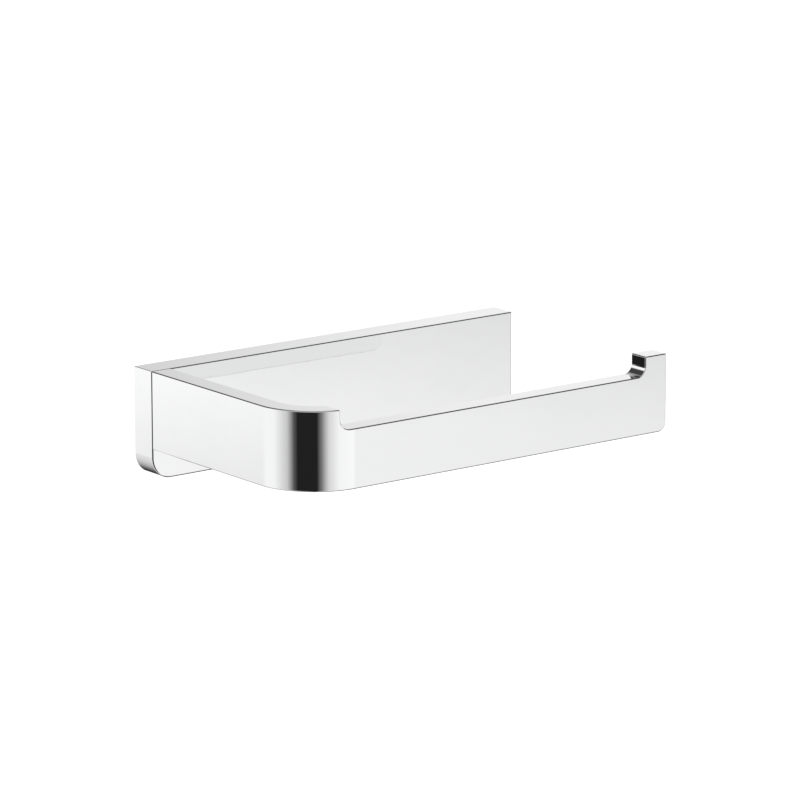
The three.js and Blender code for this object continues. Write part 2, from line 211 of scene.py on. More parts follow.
def soften(o, width, segments=3, weight=None, angle=24.0, clamp=False, profile=0.5):
    """Rounds every edge sharper than angle by width mm. weight(midpoint in mm, edge) scales it, 0 to 1."""
    me = o.data
    bm = bmesh.new()
    bm.from_mesh(me)
    bmesh.ops.dissolve_degenerate(bm, dist=1e-6, edges=bm.edges[:])
    layer = bm.edges.layers.float.get("bevel_weight_edge") or bm.edges.layers.float.new("bevel_weight_edge")
    for e in bm.edges:
        e[layer] = 0.0
        if len(e.link_faces) == 2 and e.calc_face_angle(0.0) > math.radians(angle):
            if min(f.calc_area() for f in e.link_faces) < 1e-4 * e.calc_length() ** 2:
                continue                                      # a hairline face left by the cuts
            mid = (e.verts[0].co + e.verts[1].co) / 2 / MM
            e[layer] = 1.0 if weight is None else weight(mid, e)
    bm.to_mesh(me)
    bm.free()
    m = o.modifiers.new("soften", "BEVEL")
    m.limit_method = "WEIGHT"
    m.offset_type = "OFFSET"
    m.width = width * MM
    m.segments = segments
    m.profile = profile
    m.use_clamp_overlap = clamp
    m.miter_outer = "MITER_SHARP"
    m.affect = "EDGES"
    settle(o)
    return o


def polish(o, rolls=()):
    """Smooth normals after soften: a corner on a large face takes that face's normal, one inside an edge round the mean.
    rolls are (axis, a, b, radius, sign): cylinders along axis through (a, b), whose points take the radial normal."""
    me = o.data
    me.shade_smooth()
    bm = bmesh.new()
    bm.from_mesh(me)

    def large(f):
        if max(abs(c) for c in f.normal) > 0.99995:
            return True
        for axis, a, b, radius, sign in rolls:
            if abs(f.normal["xyz".index(axis)]) < 0.002:
                c = "xyz".index({"z": "y", "y": "z"}[axis])
                if all(abs(math.hypot(v.co.x / MM - a, v.co[c] / MM - b) - radius) < 0.06 for v in f.verts):
                    return True
        return False

    main = {f for f in bm.faces if large(f)}
    out = []
    for v in bm.verts:
        big = [f for f in v.link_faces if f in main]
        n = Vector((0, 0, 0))
        if big:
            for f in big:
                n += f.normal
        else:
            for f in v.link_faces:
                n += f.normal * f.calc_area()
        n = n.normalized() if n.length > 1e-9 else v.normal.copy()
        p = v.co / MM
        for axis, a, b, radius, sign in (rolls if big else ()):
            u = {"z": (p.x - a, p.y - b), "y": (p.x - a, p.z - b)}[axis]
            d = math.hypot(*u)
            if abs(d - radius) < 0.004 * radius:
                r = Vector((u[0], u[1], 0)) if axis == "z" else Vector((u[0], 0, u[1]))
                r = r.normalized() * sign
                if r.dot(n) > 0.99:
                    n = r
        out.append(n)
    corners = []
    for f in bm.faces:
        for l in f.loops:
            n = out[l.vert.index]
            if n.dot(f.normal) < 0.5:                         # the wall of a hole that ends in a flat face
                n = Vector((0, 0, 0))
                for g in l.vert.link_faces:
                    if g.normal.dot(f.normal) > 0.7:
                        n += g.normal * g.calc_area()
                n = n.normalized() if n.length > 1e-12 else f.normal.copy()
            corners.append(n)
    bm.free()
    me.normals_split_custom_set(corners)
    return o


def shade(o, sharp=None):
    """Smooth shading in which the large faces keep their own normals."""
    me = o.data
    me.shade_smooth()
    if sharp:
        me.set_sharp_from_angle(angle=math.radians(sharp))
    m = o.modifiers.new("normals", "WEIGHTED_NORMAL")
    m.mode = "FACE_AREA"
    m.weight = 100
    m.keep_sharp = bool(sharp)
    settle(o)
    return o


# --------------------------------------------------------------------------
# dimensions, mm: the CAD part's own
# --------------------------------------------------------------------------
p_lo, p_hi = (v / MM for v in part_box("wall_plate"))
a_lo, a_hi = (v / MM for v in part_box("roll_arm"))
X0, X1 = p_lo.x, p_hi.x                      # -80, 80
Z0, Z1 = p_lo.z, p_hi.z                      # -19.5, 19.5
FRONT = p_lo.y                               # -10.7
PLATE_CORNER_R = 8.0
PLATE_FACE, PLATE_TOP, PLATE_BOTTOM, PLATE_END, PLATE_BLOCK = 2.5, 2.5, 3.0, 2.5, 14.5
ARM_T = 7.6
BEND_R = 23.0
NOTCH_START, LIP, NOTCH_D, NOTCH_R, TIP_R = 17.25, 9.7, 7.0, 3.5, 3.3
BAR_FRONT = a_lo.y                           # -97.5
BAR_BACK = BAR_FRONT + ARM_T
ROOT = a_hi.y                                # -10.85
ARM_LOW, ARM_TOP = a_lo.z, a_hi.z            # -8.5, 19.5
FIX_X = X0 + 4.0
FIX_MID = (ARM_LOW + ARM_TOP) / 2
SCREW_Z = (FIX_MID + 6.0, FIX_MID - 6.0)
DOWEL_Z = (FIX_MID + 11.0, FIX_MID - 11.0)
SET_X, SET_Y = 52.0, -4.6
EDGE = 0.62                                  # broken edges of the plated pieces

# --------------------------------------------------------------------------
# materials
# --------------------------------------------------------------------------


class Mat:
    """A small builder for a Principled material."""

    def __init__(self, name, **fixed):
        self.m = bpy.data.materials.new(name)
        self.m.use_nodes = True
        self.t = self.m.node_tree
        self.t.nodes.clear()
        self.out = self.t.nodes.new("ShaderNodeOutputMaterial")
        self.b = self.t.nodes.new("ShaderNodeBsdfPrincipled")
        self.t.links.new(self.b.outputs[0], self.out.inputs[0])
        for k, v in fixed.items():
            self.b.inputs[k.replace("_", " ")].default_value = v
        self.tc = self.t.nodes.new("ShaderNodeTexCoord")

    def node(self, kind, **props):
        n = self.t.nodes.new(kind)
        for k, v in props.items():
            setattr(n, k, v)
        return n

    def link(self, a, b):
        self.t.links.new(a, b)

    def coords(self, scale=(1, 1, 1), rotation=(0, 0, 0)):
        mp = self.node("ShaderNodeMapping")
        mp.inputs["Scale"].default_value = scale
        mp.inputs["Rotation"].default_value = rotation
        self.link(self.tc.outputs["Object"], mp.inputs["Vector"])
        return mp.outputs[0]

    def noise(self, scale, detail=4.0, rough=0.5, vec=None, distortion=0.0):
        n = self.node("ShaderNodeTexNoise")
        n.inputs["Scale"].default_value = scale
        n.inputs["Detail"].default_value = detail
        n.inputs["Roughness"].default_value = rough
        n.inputs["Distortion"].default_value = distortion
        self.link(vec or self.tc.outputs["Object"], n.inputs["Vector"])
        return n.outputs["Fac"]

    def span(self, value, a, b, lo, hi):
        n = self.node("ShaderNodeMapRange", clamp=True)
        n.inputs["From Min"].default_value = a
        n.inputs["From Max"].default_value = b
        n.inputs["To Min"].default_value = lo
        n.inputs["To Max"].default_value = hi
        self.link(value, n.inputs["Value"])
        return n.outputs[0]

    def math(self, op, a, b=None, c=None):
        n = self.node("ShaderNodeMath", operation=op)
        for i, v in enumerate((a, b, c)):
            if v is None:
                continue
            if isinstance(v, (int, float)):
                n.inputs[i].default_value = v
            else:
                self.link(v, n.inputs[i])
        return n.outputs[0]

    def ramp(self, value, stops):
        n = self.node("ShaderNodeValToRGB")
        r = n.color_ramp
        while len(r.elements) < len(stops):
            r.elements.new(0.5)
        for e, (p, c) in zip(r.elements, stops):
            e.position = p
            e.color = (*c, 1) if len(c) == 3 else c
        self.link(value, n.inputs[0])
        return n.outputs[0]

    def bump(self, height, strength, distance, after=None):
        n = self.node("ShaderNodeBump")
        n.inputs["Strength"].default_value = strength
        n.inputs["Distance"].default_value = distance
        self.link(height, n.inputs["Height"])
        if after is not None:
            self.link(after, n.inputs["Normal"])
        return n.outputs[0]

    def set(self, **sockets):
        for k, v in sockets.items():
            self.link(v, self.b.inputs[k.replace("_", " ")])
        return self.m


def chrome(name):
    """Mirror plating: slow ripple of the polished brass, a faint haze, hairline wiping marks and small smudges."""
    k = Mat(name, Metallic=1.0)
    haze = k.noise(38.0, 5.0, 0.55)
    smudge = k.noise(95.0, 3.0, 0.6, distortion=0.6)
    hair = k.noise(900.0, 2.0, 0.5, vec=k.coords((0.05, 1.0, 1.6), (0.02, 0.05, 0.04)))
    r = k.math("ADD", k.span(haze, 0.35, 0.7, 0.022, 0.045), k.span(smudge, 0.60, 0.78, 0.0, 0.035))
    r = k.math("ADD", r, k.span(hair, 0.62, 0.75, 0.0, 0.02))
    tint = k.ramp(k.span(haze, 0.3, 0.7, 0, 1), [(0.0, (0.798, 0.80, 0.804)), (1.0, (0.815, 0.816, 0.818))])
    ripple = k.noise(85.0, 1.0, 0.4)
    n = k.bump(ripple, 0.06, 0.0002)
    n = k.bump(hair, 0.02, 0.00002, after=n)
    return k.set(Base_Color=tint, Roughness=r, Normal=n)


CHROME = chrome("chrome_polished")

# --------------------------------------------------------------------------
# wall plate
# --------------------------------------------------------------------------


def wall_plate():
    o = prism("cover_plate", rounded(X0, X1, Z0, Z1, PLATE_CORNER_R, PLATE_CORNER_R, 0, 0, 40), "y", FRONT, 0)
    ix0, ix1 = X0 + PLATE_BLOCK, X1 - PLATE_END
    iz0, iz1 = Z0 + PLATE_BOTTOM, Z1 - PLATE_TOP
    floor_y = FRONT + PLATE_FACE
    cavity = prism("t", rounded(ix0, ix1, iz0, iz1, 1.5, PLATE_CORNER_R - PLATE_END, 1.5, 1.5, 14), "y", floor_y, 2)
    for x in (-SET_X, SET_X):
        boss = rounded(x - 5.5, x + 5.5, floor_y - 1, -0.6, 0, 0, 2, 2, 10)
        keep = prism("k", boss, "z", iz0 - 0.5, iz0 + 2.0)
        cut(cavity, keep)
    cut(o, cavity)

    def w(mid, e):
        if abs(mid.y - FRONT) < 0.02:
            return 0.71 if mid.z > Z1 - 0.1 else 1.0
        return 0.32
    soften(o, EDGE, 4, w, profile=0.36)
    tools = []                                                # holes come after the rounding, which they would disturb
    for x in (-SET_X, SET_X):
        tools.append(prism("t", circle(x, SET_Y, 2.65), "z", Z0 - 2, iz0 + 4))
        n = 64
        ring = [circle(x, SET_Y, 3.15, n), circle(x, SET_Y, 2.6, n)]
        verts = [(u, v, zz) for c, zz in zip(ring, (Z0 - 0.15, Z0 + 0.4)) for u, v in c]
        faces = [tuple(reversed(range(n))), tuple(range(n, 2 * n))] + [(i, (i + 1) % n, n + (i + 1) % n, n + i) for i in range(n)]
        cone = make("t", verts, faces)
        outward(cone)
        tools.append(cone)
    for z in SCREW_Z:
        tools.append(prism("t", circle(FIX_X, z, 1.7), "y", FRONT - 2, 2))
        tools.append(prism("t", circle(FIX_X, z, 3.25), "y", -4.5, 2))
    for z in DOWEL_Z:
        tools.append(prism("t", circle(FIX_X, z, 1.65), "y", FRONT - 2, FRONT + 5.6))
    cut(o, *tools, late=True)
    polish(o, (("y", X0 + PLATE_CORNER_R, Z0 + PLATE_CORNER_R, PLATE_CORNER_R, 1), ("y", X1 - PLATE_CORNER_R, Z0 + PLATE_CORNER_R, PLATE_CORNER_R, 1)))
    return o


plate = wall_plate()
plate.data.materials.clear()
plate.data.materials.append(CHROME)
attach(plate, "holder")
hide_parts("wall_plate")

# --------------------------------------------------------------------------
# arm
# --------------------------------------------------------------------------


def roll_arm():
    cx, cy = X0 + BEND_R, BAR_FRONT + BEND_R
    plan = [(X0, ROOT)]
    # one wide facet on each side of the bend where the rest's end wall meets it
    plan += arc(cx, cy, BEND_R, 180, 253, 29) + arc(cx, cy, BEND_R, 258, 270, 5)
    plan += [(X1, BAR_FRONT), (X1, BAR_BACK)]
    plan += arc(cx, cy, BEND_R - ARM_T, 270, 252, 8) + arc(cx, cy, BEND_R - ARM_T, 244, 180, 26)
    plan += [(X0 + ARM_T, ROOT)]
    o = prism("roll_arm_bar", plan, "z", ARM_LOW, ARM_TOP)
    n0, n1 = X0 + NOTCH_START, X1 - LIP
    notch = prism("t", rounded(n0, n1, ARM_TOP - NOTCH_D, ARM_TOP + 5, NOTCH_R, NOTCH_R, 0, 0, 24), "y", BAR_FRONT - 3, BAR_BACK + 8.5)
    tip = arc(X1 - TIP_R, ARM_LOW + TIP_R, TIP_R, 270, 360, 24)
    corner = prism("t", tip + [(X1 + 3, ARM_LOW + TIP_R), (X1 + 3, ARM_LOW - 3), (X1 - TIP_R, ARM_LOW - 3)], "y", BAR_FRONT - 3, BAR_BACK + 3)
    cut(o, notch, corner)
    def w(mid, e):
        if mid.y > ROOT - 0.05:
            return 0.40
        inner = mid.y > BAR_BACK - 0.1 if mid.x > cx else (mid.x > X0 + ARM_T - 0.1 if mid.y > cy else math.hypot(mid.x - cx, mid.y - cy) < BEND_R - ARM_T + 0.1)
        return 0.18 if inner else 0.71
    soften(o, EDGE, 4, w, profile=0.36)
    tools = [prism("t", circle(FIX_X, z, 1.7), "y", ROOT - 8, ROOT + 2) for z in SCREW_Z]
    tools += [prism("t", circle(FIX_X, z, 1.65), "y", ROOT - 5.8, ROOT + 2) for z in DOWEL_Z]
    cut(o, *tools, late=True)
    fz = ARM_TOP - NOTCH_D + NOTCH_R
    polish(o, (("z", cx, cy, BEND_R, 1), ("z", cx, cy, BEND_R - ARM_T, -1), ("y", n0 + NOTCH_R, fz, NOTCH_R, -1), ("y", n1 - NOTCH_R, fz, NOTCH_R, -1),
               ("y", X1 - TIP_R, ARM_LOW + TIP_R, TIP_R, 1)))
    return o


arm = roll_arm()
arm.data.materials.clear()
arm.data.materials.append(CHROME)
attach(arm, "holder")
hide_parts("roll_arm")

# --------------------------------------------------------------------------
# hidden fixings
# --------------------------------------------------------------------------


def zinc(name, scale=1.0):
    """Zinc plated steel: spangle, rolled streaks, faint blue and straw passivate, dulled and scuffed in patches."""
    k = Mat(name, Metallic=1.0)
    cells = k.node("ShaderNodeTexVoronoi", feature="F1")
    cells.inputs["Scale"].default_value = 620.0 * scale
    cells.inputs["Randomness"].default_value = 1.0
    k.link(k.tc.outputs["Object"], cells.inputs["Vector"])
    sep = k.node("ShaderNodeSeparateColor")
    k.link(cells.outputs["Color"], sep.inputs[0])
    spangle = sep.outputs[0]
    cloud = k.noise(70.0, 5.0, 0.6)
    roll = k.noise(700.0, 3.0, 0.55, vec=k.coords((0.03, 1.0, 1.0)))
    scuff = k.noise(420.0, 6.0, 0.7, distortion=0.4)
    tone = k.math("ADD", k.math("MULTIPLY", cloud, 0.62), k.math("MULTIPLY", spangle, 0.38))
    col = k.ramp(tone, [(0.18, (0.49, 0.505, 0.535)), (0.42, (0.60, 0.61, 0.62)), (0.62, (0.665, 0.665, 0.655)), (0.85, (0.70, 0.69, 0.655))])
    r = k.math("ADD", k.span(cloud, 0.3, 0.7, 0.30, 0.42), k.span(spangle, 0.0, 1.0, -0.04, 0.05))
    r = k.math("ADD", r, k.span(scuff, 0.56, 0.72, 0.0, 0.14))
    n = k.bump(roll, 0.10, 0.00005)
    n = k.bump(scuff, 0.14, 0.00004, after=n)
    n = k.bump(spangle, 0.05, 0.00002, after=n)
    return k.set(Base_Color=col, Roughness=r, Normal=n)


def turned(name, axis, dark, light, rough, pitch=0.16, anneal=None):
    """Lathe-turned metal: fine rings round the piece's own axis, cloudy tone, bright rubbed patches."""
    k = Mat(name, Metallic=1.0)
    sep = k.node("ShaderNodeSeparateXYZ")
    k.link(k.tc.outputs["Object"], sep.inputs[0])
    along = sep.outputs["XYZ".index(axis)]
    jitter = k.noise(160.0, 3.0, 0.6)
    phase = k.math("ADD", k.math("MULTIPLY", along, 2 * math.pi / (pitch * MM)), k.math("MULTIPLY", jitter, 5.0))
    rings = k.math("SINE", phase)
    cloud = k.noise(240.0, 4.0, 0.6)
    rub = k.noise(900.0, 4.0, 0.7)
    tone = k.math("ADD", k.math("MULTIPLY", cloud, 0.8), k.math("MULTIPLY", rings, 0.06))
    col = k.ramp(tone, [(0.2, dark), (0.62, light)])
    r = k.math("ADD", k.span(cloud, 0.3, 0.7, rough[0], rough[1]), k.math("MULTIPLY", rings, 0.02))
    r = k.math("ADD", r, k.span(rub, 0.58, 0.74, 0.0, -0.08))
    n = k.bump(rings, 0.16, 0.00001)
    n = k.bump(rub, 0.10, 0.00001, after=n)
    return k.set(Base_Color=col, Roughness=r, Normal=n)


def oxide(name):
    """Black oxide on steel: deep grey-black with brown undertone, oily low spots, crests rubbed to steel."""
    k = Mat(name, Metallic=0.85)
    cloud = k.noise(480.0, 5.0, 0.65)
    rub = k.noise(1500.0, 4.0, 0.7, distortion=0.3)
    tone = k.math("ADD", k.math("MULTIPLY", cloud, 0.7), k.math("MULTIPLY", rub, 0.3))
    col = k.ramp(tone, [(0.25, (0.018, 0.018, 0.020)), (0.55, (0.040, 0.040, 0.043)), (0.68, (0.075, 0.072, 0.068)), (0.80, (0.21, 0.20, 0.19))])
    r = k.span(cloud, 0.3, 0.7, 0.28, 0.50)
    n = k.bump(rub, 0.22, 0.00002)
    return k.set(Base_Color=col, Roughness=r, Normal=n)


def nylon(name):
    """Moulded grey nylon: slight flow marks along the sleeve, fine texture, faint grime in the low parts."""
    k = Mat(name, Metallic=0.0)
    k.b.inputs["Specular IOR Level"].default_value = 0.45
    k.b.inputs["IOR"].default_value = 1.53
    flow = k.noise(260.0, 4.0, 0.55, vec=k.coords((1.0, 0.12, 1.0)), distortion=0.8)
    fine = k.noise(2600.0, 3.0, 0.6)
    cloud = k.noise(130.0, 4.0, 0.6)
    tone = k.math("ADD", k.math("MULTIPLY", flow, 0.45), k.math("MULTIPLY", cloud, 0.55))
    col = k.ramp(tone, [(0.25, (0.47, 0.475, 0.465)), (0.5, (0.565, 0.57, 0.56)), (0.75, (0.62, 0.625, 0.615))])
    r = k.math("ADD", k.span(cloud, 0.3, 0.7, 0.42, 0.58), k.span(fine, 0.4, 0.6, -0.04, 0.04))
    n = k.bump(flow, 0.25, 0.00005)
    n = k.bump(fine, 0.30, 0.00002, after=n)
    return k.set(Base_Color=col, Roughness=r, Normal=n)


ZINC_PLATE = zinc("zinc_plate")
ZINC_SMALL = zinc("zinc_fastener", 1.8)
STEEL_Y = turned("stainless_turned", "Y", (0.50, 0.495, 0.485), (0.70, 0.70, 0.69), (0.20, 0.34))
OXIDE = oxide("black_oxide")
NYLON = nylon("grey_nylon")


def place(o, material, body, node, slot):
    o.data.materials.clear()
    o.data.materials.append(material)
    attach(o, body)
    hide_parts(node)
    return o


def spot(node):
    lo, hi = (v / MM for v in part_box(node))
    return lo, hi, (lo + hi) / 2


def smooth01(v):
    v = min(1.0, max(0.0, v))
    return v * v * (3 - 2 * v)


def thread(pitch, core, crest, y0, y1, run0, run1, root=0.12, top=0.10):
    """Radius of a right-hand thread on the Y axis at (angle, y), run out at both ends."""
    def radius(a, y):
        u = (y / pitch + a / (2 * math.pi)) % 1.0
        ramp = min(u, 1.0 - u) * 2                       # 0 in the root, 1 on the crest
        h = min(1.0, max(0.0, (ramp - root) / (1.0 - root - top)))
        return core + (crest - core) * h * smooth01((y - y0) / run0) * smooth01((y1 - y) / run1)
    return radius


def rod(name, before, core, y0, y1, steps, after, n, radius, at):
    """Lathe along Y: the plain profile before, a threaded run of steps rings, the plain profile after."""
    profile = list(before)
    first = len(profile)
    profile += [(core, y0 + (y1 - y0) * i / steps) for i in range(steps + 1)]
    last = len(profile) - 1
    profile += list(after)

    def wobble(i, a, y):
        return radius(a, y) - core if first <= i <= last else 0.0
    return lathe(name, profile, n, at, wobble)


def turn_mesh(o, rotation):
    o.data.transform(rotation)
    return o


def hexagon(af, turn=0.0):
    r = af / math.sqrt(3)
    return [(r * math.cos(math.radians(60 * i + turn)), r * math.sin(math.radians(60 * i + turn))) for i in range(6)]


# -- bracket ---------------------------------------------------------------

def wall_bracket():
    lo, hi, c = spot("wall_bracket")
    yb, yw, f = lo.y, -3.0, 2.5
    zb, zt = lo.z, hi.z
    # section in Y and Z: a channel open towards the room
    sec = arc(-1, zb + 1, 1, 0, -90, 8)
    sec += arc(yb + 0.6, zb + 0.6, 0.6, -90, -180, 6)
    sec += arc(yb + 0.5, zb + f - 0.5, 0.5, 180, 90, 6)
    sec += arc(yw - 1.2, zb + f + 1.2, 1.2, -90, 0, 10)
    sec += arc(yw - 1.2, zt - f - 1.2, 1.2, 0, 90, 10)
    sec += arc(yb + 0.5, zt - f + 0.5, 0.5, 270, 180, 6)
    sec += arc(yb + 0.6, zt - 0.6, 0.6, 180, 90, 6)
    sec += arc(-1, zt - 1, 1, 90, 0, 8)
    o = prism("wall_bracket_channel", sec, "x", lo.x, hi.x)
    trim = prism("t", rounded(lo.x, hi.x, zb, zt, 3, 3, 3, 3, 14), "y", yb - 2, 2)
    cut(o, trim, op="INTERSECT")
    tools = []
    for sgn in (-1, 1):
        a, b = sorted((sgn * 20.0, sgn * 54.0))
        tools.append(box("t", a, b, -0.5, 3, zb - 2, zt + 2))
    cut(o, *tools)

    def w(mid, e):
        return 1.0 if mid.y > yw - 0.1 else 0.7
    soften(o, 0.16, 3, w, angle=40.0)
    tools = []
    for sgn in (-1, 1):
        hx, hz = (5.0, 2.7) if sgn < 0 else (2.7, 5.0)
        tools.append(prism("t", rounded(sgn * 42 - hx, sgn * 42 + hx, 2 - hz, 2 + hz, 2.7, 2.7, 2.7, 2.7, 14), "y", -4, 2))
    tools.append(prism("t", rounded(-6, 6, 6, 10, 2, 2, 2, 2, 12), "y", -4, 2))
    cut(o, *tools, late=True)
    shade(o, 35)
    return o


place(wall_bracket(), ZINC_PLATE, "wall_mount", "wall_bracket", "bracket_steel")

# -- wall fixing -----------------------------------------------------------


def wall_washer(side):
    lo, hi, c = spot("wall_washer_" + side)
    h = (hi.y - lo.y) / 2
    ro, ri, e = (hi.x - lo.x) / 2, 2.5, 0.16
    # stamped: the front rim is rolled over, the back keeps a slight burr
    prof = arc(ro - 2 * e, -h + 2 * e, 2 * e, -90, 0, 6)
    prof += arc(ro - e / 2, h - e / 2, e / 2, 0, 90, 3)
    prof += [(ri + (ro - ri) * t, h - 0.03 * math.sin(math.pi * t)) for t in (0.8, 0.6, 0.4, 0.2)]
    prof += arc(ri + e / 2, h - e / 2, e / 2, 90, 180, 3)
    prof += arc(ri + 1.6 * e, -h + 1.6 * e, 1.6 * e, 180, 270, 6)
    prof += [(ri + (ro - ri) * t, -h + 0.025 * math.sin(math.pi * t)) for t in (0.2, 0.4, 0.6, 0.8)]
    o = lathe("wall_washer_disc_" + side, tidy(prof), 112, (c.x, c.y, c.z))
    shade(o, 50)
    place(o, ZINC_SMALL, "wall_mount", "wall_washer_" + side, "bracket_steel")


def wall_screw(side):
    lo, hi, c = spot("wall_screw_" + side)
    head = 2.7
    seat = lo.y + head
    length = hi.y - seat
    core, crest = 1.6, 2.25
    base = thread(1.8, core, crest, 2.2, length + 1, 2.2, 0.6, 0.30, 0.08)

    def radius(a, y):
        r = base(a, y)
        cone = crest * (length - y) / 5.0                    # drawn point
        return max(0.02, min(r, cone)) if y > length - 5.2 else r
    dome = [(4.2, -0.12), (4.2, -1.1)] + [(4.2 - 1.6 + 1.6 * math.cos(math.radians(a)), -1.1 - 1.6 * math.sin(math.radians(a))) for a in range(9, 91, 9)]
    profile_after = [(0.0, length)]
    before = [(0.0, -head), (1.3, -head)] + dome[::-1] + [(4.05, 0.0), (2.6, 0.0), (2.3, 0.12), (1.9, 0.5), (core, 1.2)]
    o = rod("wall_screw_fine_" + side, before, core, 1.4, length - 0.03, 360, profile_after, 72, radius, (c.x, seat, c.z))
    # cross recess
    for turn in (0, 90):
        rc = [(-2.4, -head - 0.5), (2.4, -head - 0.5), (2.1, -head + 0.6), (0.7, -head + 1.9), (-0.7, -head + 1.9), (-2.1, -head + 0.6)]
        a = math.radians(turn + 45)
        verts = []
        for zz in (-0.45, 0.45):
            for x, y in rc:
                w = zz * (1.0 - 0.18 * (y + head + 0.5) / 2.4)
                verts.append((x * math.cos(a) - w * math.sin(a), y, x * math.sin(a) + w * math.cos(a)))
        m = len(rc)
        faces = [tuple(range(m)), tuple(range(m, 2 * m))[::-1]] + [(i, m + i, m + (i + 1) % m, (i + 1) % m) for i in range(m)]
        t = make("t", verts, faces, (c.x, seat, c.z))
        outward(t)
        cut(o, t)

    def w(mid, e):
        r = math.hypot(mid.x, mid.z)
        return 1.0 if mid.y < -0.7 and r < 2.9 else 0.0
    soften(o, 0.07, 2, w, angle=30.0, clamp=True)
    shade(o, 42)
    place(o, ZINC_SMALL, "wall_mount", "wall_screw_" + side, "bracket_steel")


def wall_plug(side):
    lo, hi, c = spot("wall_plug_" + side)
    L, R, bore = hi.y - lo.y, 4.0, 2.5
    e = 0.16
    prof = [(bore + 0.35, 0.0), (R + 0.9 - e, 0.0)] + arc(R + 0.9 - e, e, e, -90, 0, 4) + arc(R + 0.9 - e, 0.9 - e, e, 0, 90, 4)
    prof += [(R + 0.1, 0.95), (R - 0.2, 1.2), (R - 0.3, 1.5), (R - 0.3, 7.6), (R - 0.32, 8.0)]
    y = 8.0
    while y < L - 6:
        prof += [(R - 0.06, y + 0.5), (R, y + 0.7), (R, y + 1.7), (R - 0.08, y + 1.95), (R - 0.45, y + 3.6), (R - 0.55, y + 4.0)]
        y += 4.0
    prof += [(R - 0.62, L - 1.6), (R - 0.72, L - 0.6), (R - 0.9, L - 0.15), (R - 1.05, L), (bore + 0.02, L), (bore - 0.06, L - 0.3), (bore, L - 1.0), (bore, 0.35)]
    o = lathe("wall_plug_sleeve_" + side, tidy(prof), 88, (c.x, lo.y, c.z))
    s1 = box("t", c.x - 0.6, c.x + 0.6, lo.y + 10, lo.y + L - 4, c.z - 6, c.z + 6)
    s2 = box("t", c.x - 6, c.x + 6, lo.y + 12, lo.y + L - 6, c.z - 0.6, c.z + 0.6)
    cut(o, s1, s2)

    def w(mid, e):
        near = min(abs(abs(mid.x) - 0.6), abs(abs(mid.z) - 0.6))
        return 1.0 if near < 0.02 and mid.y > 9.9 and mid.y < L - 3.9 else 0.0
    soften(o, 0.09, 2, w, angle=35.0, clamp=True)
    shade(o, 40)
    place(o, NYLON, "wall_mount", "wall_plug_" + side, "plug_nylon")


for side in ("left", "right"):
    wall_washer(side)
    wall_screw(side)
    wall_plug(side)

# -- arm fixing ------------------------------------------------------------


def arm_screw(which):
    lo, hi, c = spot("arm_screw_" + which)
    seat = hi.y - 3.0
    L, core, crest, hr = 12.0, 1.22, 1.5, 2.75
    n = 96
    before = [(0.0, -L), (1.02, -L), (1.14, -L + 0.08), (1.2, -L + 0.2)]
    radius = thread(0.5, core, crest, -L + 0.2, -0.5, 0.5, 0.7, 0.12, 0.12)
    collar = [(1.36, -0.3), (1.44, -0.12), (1.62, 0.0), (hr - 0.18, 0.0), (hr - 0.08, 0.05), (hr - 0.07, 0.2), (hr - 0.07, 0.3)]
    knurl = [(hr - 0.07, 0.36 + 0.1 * i) for i in range(23)]
    top = [(hr - 0.07, 2.68), (hr - 0.1, 2.78), (hr - 0.2, 2.92), (hr - 0.34, 3.0), (1.2, 3.0), (0.0, 3.0)]
    steps = 184
    profile = list(before) + [(core, -L + 0.24 + (L - 0.8) * i / steps) for i in range(steps + 1)]
    t0, t1 = len(before), len(profile) - 1
    profile += collar
    k0 = len(profile)
    profile += knurl
    k1 = len(profile) - 1
    profile += top

    def wobble(i, a, y):
        if t0 <= i <= t1:
            return radius(a, y) - core
        if k0 <= i <= k1:
            return 0.035 + 0.035 * math.cos(24 * a)
        return 0.0
    o = lathe("arm_screw_fine_" + which, profile, n, (c.x, seat, c.z), wobble)
    tool = prism("t", hexagon(2.5), "y", 1.5, 4.0, (c.x, seat, c.z))
    mouth = lathe("t", [(0.0, 2.86), (1.36, 2.86), (1.56, 3.06), (1.56, 3.4), (0.0, 3.4)], 48, (c.x, seat, c.z))
    cut(o, tool, mouth)
    shade(o, 42)
    place(o, STEEL_Y, "holder", "arm_screw_" + which, "stainless")


def lock_washer(which):
    lo, hi, c = spot("arm_lock_washer_" + which)
    ro, ri = 3.0, 1.65
    h = (hi.y - lo.y) / 2
    ring = []
    steps = 96
    a0, a1 = 0.12, 2 * math.pi - 0.12
    b0, b1 = 0.24, 2 * math.pi - 0.24
    ring = [(ro * math.cos(a0 + (a1 - a0) * i / steps), ro * math.sin(a0 + (a1 - a0) * i / steps)) for i in range(steps + 1)]
    ring += [(ri * math.cos(b1 + (b0 - b1) * i / steps), ri * math.sin(b1 + (b0 - b1) * i / steps)) for i in range(steps + 1)]
    o = prism("lock_washer_ring_" + which, ring, "y", -h, h, (c.x, c.y, c.z))
    soften(o, 0.09, 3, angle=40.0)
    for v in o.data.vertices:                                # the cut ends spring apart
        a = math.atan2(v.co.z, v.co.x) % (2 * math.pi)
        v.co.y += 0.10 * MM * (a / (2 * math.pi) - 0.5)
    shade(o, 40)
    place(o, STEEL_Y, "holder", "arm_lock_washer_" + which, "stainless")


